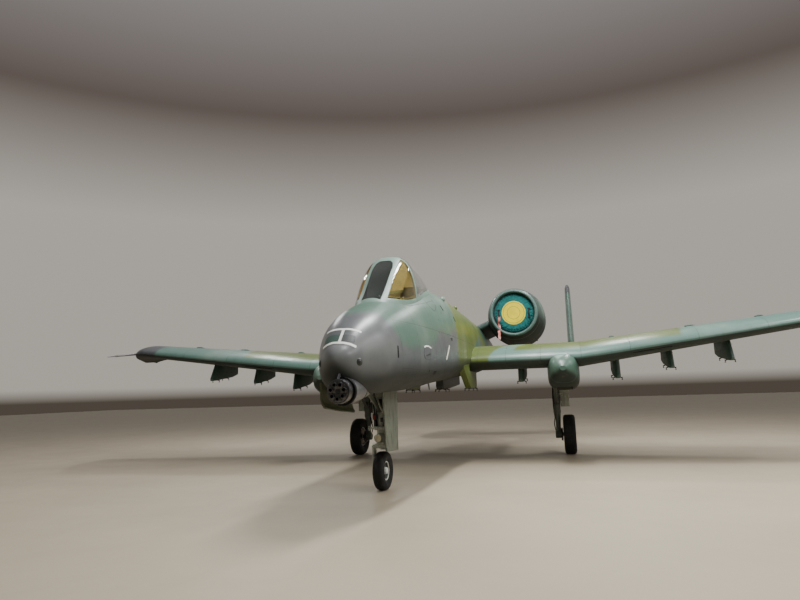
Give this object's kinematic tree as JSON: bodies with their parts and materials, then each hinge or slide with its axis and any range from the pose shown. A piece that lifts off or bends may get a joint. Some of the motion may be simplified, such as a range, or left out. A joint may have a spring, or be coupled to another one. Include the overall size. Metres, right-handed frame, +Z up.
{
  "type": "twin-engine ground-attack jet aircraft",
  "caption": "Straight-wing jet on tricycle gear, with podded rear engines, twin tail fins, a nose gun muzzle, bubble canopy, underwing pylons and covered engine intakes.",
  "frame": {"origin": "on the ground, under the middle of the bounding box", "axes": "+X to port along the span, +Y aft, +Z up"},
  "size_m": [17.53, 16.26, 5.12],
  "materials": {
    "charcoal_paint": "satin",
    "sage_paint": "satin",
    "teal_paint": "satin",
    "olive_paint": "matte",
    "tail_paint": "satin paint",
    "gear_paint": "satin",
    "dark_metal": "satin",
    "gun_metal": "worn",
    "tyre_rubber": "matte",
    "rim_paint": "satin",
    "seat_fabric": "matte",
    "cover_cloth": "matte",
    "clear_glass": "clear",
    "amber_glass": "tinted"
  },
  "bodies": {
    "airframe": {"forward_fuselage": "charcoal_paint", "nacelle_left": "charcoal_paint", "nacelle_right": "charcoal_paint", "engine_strut_left": "charcoal_paint", "engine_strut_right": "charcoal_paint", "mid_fuselage": "olive_paint", "nose_front_door": "olive_paint", "belly_pylon_left": "olive_paint", "belly_pylon_right": "olive_paint", "tail_fuselage": "tail_paint", "tailplane": "tail_paint", "fin_left": "tail_paint", "fin_right": "tail_paint", "gun_muzzle": "gun_metal", "windscreen_frame": "sage_paint", "windscreen_front_pane": "clear_glass", "windscreen_side_pane_left": "amber_glass", "windscreen_side_pane_right": "amber_glass", "ejection_seat": "seat_fabric", "instrument_panel": "dark_metal", "belly_pylon_centre": "dark_metal", "engine_left": "dark_metal", "engine_right": "dark_metal", "inner_wing_left": "teal_paint", "inner_wing_right": "teal_paint", "outer_wing_left": "teal_paint", "outer_wing_right": "teal_paint", "gear_pod_left": "teal_paint", "gear_pod_right": "teal_paint", "inner_pylon_left": "teal_paint", "inner_pylon_right": "teal_paint", "intake_cover_left": "cover_cloth", "intake_cover_right": "cover_cloth", "nose_leg": "gear_paint", "nose_side_door": "gear_paint", "main_leg_left": "gear_paint", "main_leg_right": "gear_paint", "main_door_left": "gear_paint", "main_door_right": "gear_paint"},
    "canopy": {"canopy_frame": "sage_paint", "canopy_glass": "clear_glass"},
    "inner_flap_left": {"inner_flap_left": "teal_paint"},
    "inner_flap_right": {"inner_flap_right": "teal_paint"},
    "outer_flap_left": {"outer_flap_left": "teal_paint"},
    "outer_flap_right": {"outer_flap_right": "teal_paint"},
    "aileron_left": {"aileron_upper_left": "teal_paint"},
    "aileron_right": {"aileron_upper_right": "teal_paint"},
    "speedbrake_left": {"aileron_lower_left": "teal_paint"},
    "speedbrake_right": {"aileron_lower_right": "teal_paint"},
    "elevator_left": {"elevator_left": "tail_paint"},
    "elevator_right": {"elevator_right": "tail_paint"},
    "rudder_left": {"rudder_left": "tail_paint"},
    "rudder_right": {"rudder_right": "tail_paint"},
    "nose_fork": {"nose_fork": "gear_paint"},
    "nose_wheel": {"nose_rim": "rim_paint", "nose_tyre": "tyre_rubber"},
    "main_wheel_left": {"main_rim_left": "rim_paint", "main_tyre_left": "tyre_rubber"},
    "main_wheel_right": {"main_rim_right": "rim_paint", "main_tyre_right": "tyre_rubber"}
  },
  "joints": [
    {"name": "nose_steering", "type": "hinge", "parent": "airframe", "child": "nose_fork", "pos_m": [-0.316, -5.158, 0.8], "axis": [0, 0, 1], "range_deg": [-50, 50]},
    {"name": "nose_wheel_spin", "type": "hinge", "parent": "nose_fork", "child": "nose_wheel", "pos_m": [-0.316, -5.158, 0.305], "axis": [1, 0, 0], "continuous": true},
    {"name": "main_wheel_left_spin", "type": "hinge", "parent": "airframe", "child": "main_wheel_left", "pos_m": [2.625, 0.242, 0.457], "axis": [1, 0, 0], "continuous": true},
    {"name": "main_wheel_right_spin", "type": "hinge", "parent": "airframe", "child": "main_wheel_right", "pos_m": [-2.625, 0.242, 0.457], "axis": [1, 0, 0], "continuous": true},
    {"name": "canopy_hinge", "type": "hinge", "parent": "airframe", "child": "canopy", "pos_m": [0, -3.07, 3.49], "axis": [-1, 0, 0], "range_deg": [0, 45]},
    {"name": "inner_flap_left_hinge", "type": "hinge", "parent": "airframe", "child": "inner_flap_left", "pos_m": [1.55, -0.1032, 2.30172], "axis": [-1, 0, 0], "range_deg": [0, 20]},
    {"name": "inner_flap_right_hinge", "type": "hinge", "parent": "airframe", "child": "inner_flap_right", "pos_m": [-1.55, -0.1032, 2.30172], "axis": [-1, 0, 0], "range_deg": [0, 20]},
    {"name": "outer_flap_left_hinge", "type": "hinge", "parent": "airframe", "child": "outer_flap_left", "pos_m": [2.97, -0.10479, 2.30398], "axis": [-0.9906, 0.0788, -0.1121], "range_deg": [0, 20]},
    {"name": "outer_flap_right_hinge", "type": "hinge", "parent": "airframe", "child": "outer_flap_right", "pos_m": [-2.97, -0.10479, 2.30398], "axis": [-0.9906, -0.0788, 0.1121], "range_deg": [0, 20]},
    {"name": "aileron_left_hinge", "type": "hinge", "parent": "airframe", "child": "aileron_left", "pos_m": [5.2, -0.28212, 2.55626], "axis": [-0.9906, 0.0788, -0.1121], "range_deg": [-25, 15]},
    {"name": "aileron_right_hinge", "type": "hinge", "parent": "airframe", "child": "aileron_right", "pos_m": [-5.2, -0.28212, 2.55626], "axis": [-0.9906, -0.0788, 0.1121], "range_deg": [-25, 15]},
    {"name": "speedbrake_left_hinge", "type": "hinge", "parent": "aileron_left", "child": "speedbrake_left", "pos_m": [5.2, -0.28212, 2.55626], "axis": [-0.9906, 0.0788, -0.1121], "range_deg": [0, 80]},
    {"name": "speedbrake_right_hinge", "type": "hinge", "parent": "aileron_right", "child": "speedbrake_right", "pos_m": [-5.2, -0.28212, 2.55626], "axis": [-0.9906, -0.0788, 0.1121], "range_deg": [0, 80]},
    {"name": "elevator_left_hinge", "type": "hinge", "parent": "airframe", "child": "elevator_left", "pos_m": [1.38, 6.732, 2.78], "axis": [1, 0, 0], "range_deg": [-15, 25]},
    {"name": "elevator_right_hinge", "type": "hinge", "parent": "airframe", "child": "elevator_right", "pos_m": [-1.38, 6.732, 2.78], "axis": [1, 0, 0], "range_deg": [-15, 25]},
    {"name": "rudder_left_hinge", "type": "hinge", "parent": "airframe", "child": "rudder_left", "pos_m": [2.87, 7.46412, 2.6], "axis": [0, -0.0335, 0.9994], "range_deg": [-25, 25]},
    {"name": "rudder_right_hinge", "type": "hinge", "parent": "airframe", "child": "rudder_right", "pos_m": [-2.87, 7.46412, 2.6], "axis": [0, -0.0335, 0.9994], "range_deg": [-25, 25]}
  ],
  "couplings": [
    {"joint": "elevator_right_hinge", "follows": "elevator_left_hinge", "ratio": 1},
    {"joint": "rudder_right_hinge", "follows": "rudder_left_hinge", "ratio": 1}
  ]
}
